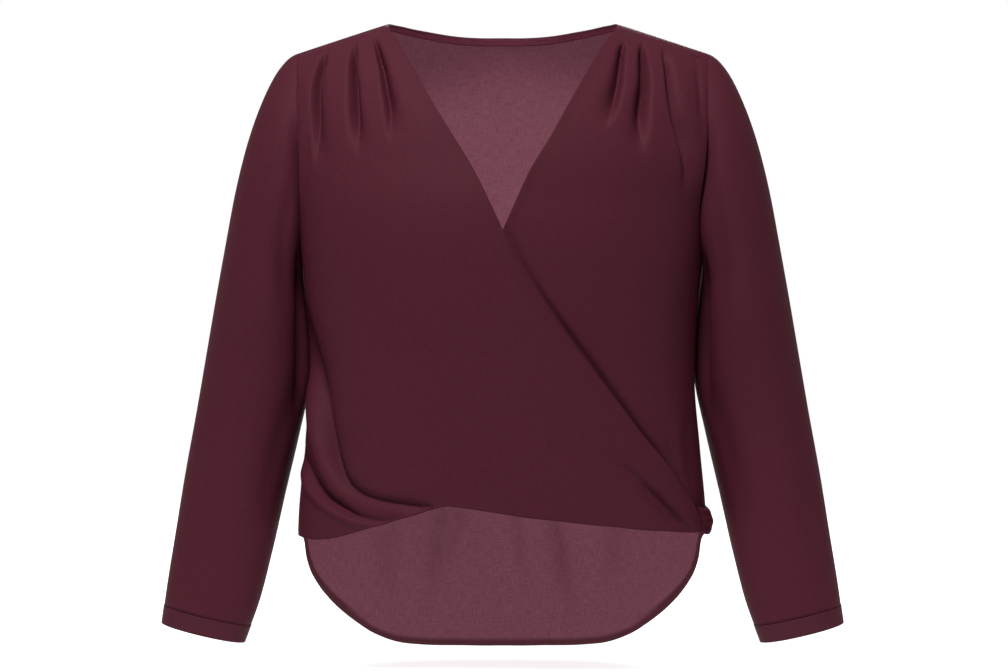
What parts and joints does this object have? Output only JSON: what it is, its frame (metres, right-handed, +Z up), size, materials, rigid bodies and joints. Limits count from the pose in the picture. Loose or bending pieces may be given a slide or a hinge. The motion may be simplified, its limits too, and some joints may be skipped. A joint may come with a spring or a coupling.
{
  "type": "v-neck blouse",
  "caption": "Long-sleeved v-neck blouse with a crossed front drawn to one hip and a long rounded back, hollow and filled out as worn, for a figure, display or wardrobe",
  "frame": {"origin": "the mount shoulders: midway between the two neck points, level with the shoulder ridge there", "axes": "+X to the wearer's left, -Y to the front, +Z up"},
  "size_m": [0.722, 0.2512, 0.6721],
  "materials": {
    "crepe": "matt semi-sheer wine crepe",
    "crepe_doubled": "two or more layers of the same crepe, turned and stitched"
  },
  "bodies": {
    "root": {"back": "crepe", "front_over": "crepe", "front_under": "crepe", "sleeve_left": "crepe", "sleeve_right": "crepe", "cuff_left": "crepe_doubled", "cuff_right": "crepe_doubled", "neck_binding": "crepe_doubled", "hip_loop": "crepe"}
  },
  "joints": []
}
